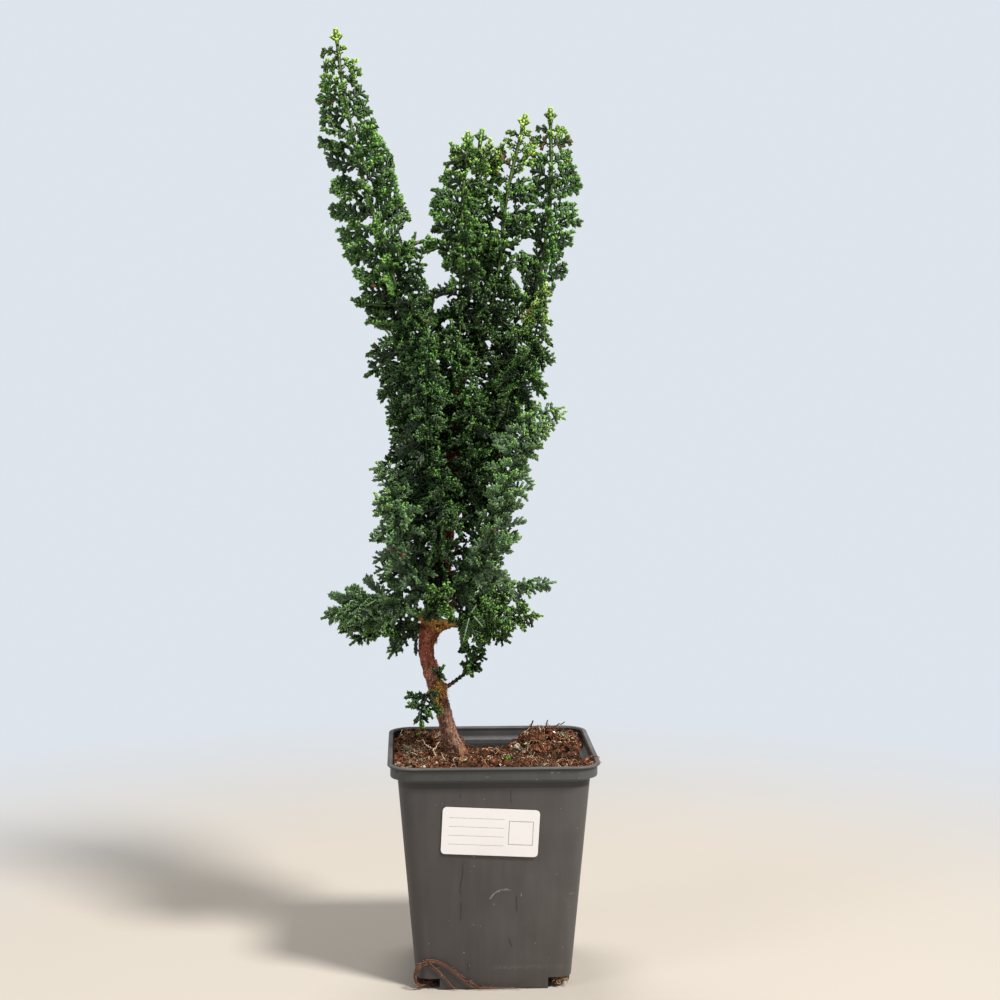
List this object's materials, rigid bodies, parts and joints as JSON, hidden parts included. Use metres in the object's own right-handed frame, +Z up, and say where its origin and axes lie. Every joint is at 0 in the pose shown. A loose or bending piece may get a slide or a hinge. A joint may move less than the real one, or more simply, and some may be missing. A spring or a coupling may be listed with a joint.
{
  "type": "hinoki cypress bonsai",
  "caption": "Young hinoki cypress in a square nursery pot: a bent woody stem with upright leaders and flat sprays of scale leaves, soil filling the pot and a blank label on the front.",
  "frame": {"origin": "on the ground, at the middle of the pot's foot", "axes": "+Z up along the height; the pot's front wall with the label faces -Y; +X to the right as seen from the front"},
  "size_m": [0.1455, 0.11, 0.497],
  "materials": {
    "pot_plastic": "satin",
    "label_paper": "satin",
    "peat": "matte",
    "fine_root": "matte",
    "bark": "matte",
    "scale_leaf": "satin"
  },
  "bodies": {
    "root": {"pot": "pot_plastic", "label": "label_paper", "soil": "peat", "drain_root": "fine_root", "trunk": "bark", "leader_tall_left": "scale_leaf", "leader_mid_left": "scale_leaf", "leader_mid_centre": "scale_leaf", "leader_mid_right": "scale_leaf", "leader_right": "scale_leaf", "shoot_front_right": "scale_leaf", "shoot_right_sweep": "scale_leaf", "shoot_left_front": "scale_leaf", "branch_low_left": "scale_leaf", "branch_low_left_droop": "scale_leaf", "branch_low_left_inner": "scale_leaf", "branch_low_right": "scale_leaf", "branch_low_right_front": "scale_leaf", "branch_low_right_under": "scale_leaf", "twig_knot_right": "scale_leaf", "sprig_trunk_left": "scale_leaf", "sprig_trunk_front": "scale_leaf", "shoot_front_high": "scale_leaf", "shoot_between_leaders": "scale_leaf", "shoot_left_high": "scale_leaf", "shoot_back_left_high": "scale_leaf", "shoot_back_right_high": "scale_leaf", "shoot_front_low": "scale_leaf", "shoot_front_upper": "scale_leaf", "shoot_mid_front": "scale_leaf", "sprig_front_low": "scale_leaf", "shoot_back_low_left": "scale_leaf", "shoot_back_low_right": "scale_leaf", "shoot_back_mid": "scale_leaf"}
  },
  "joints": []
}
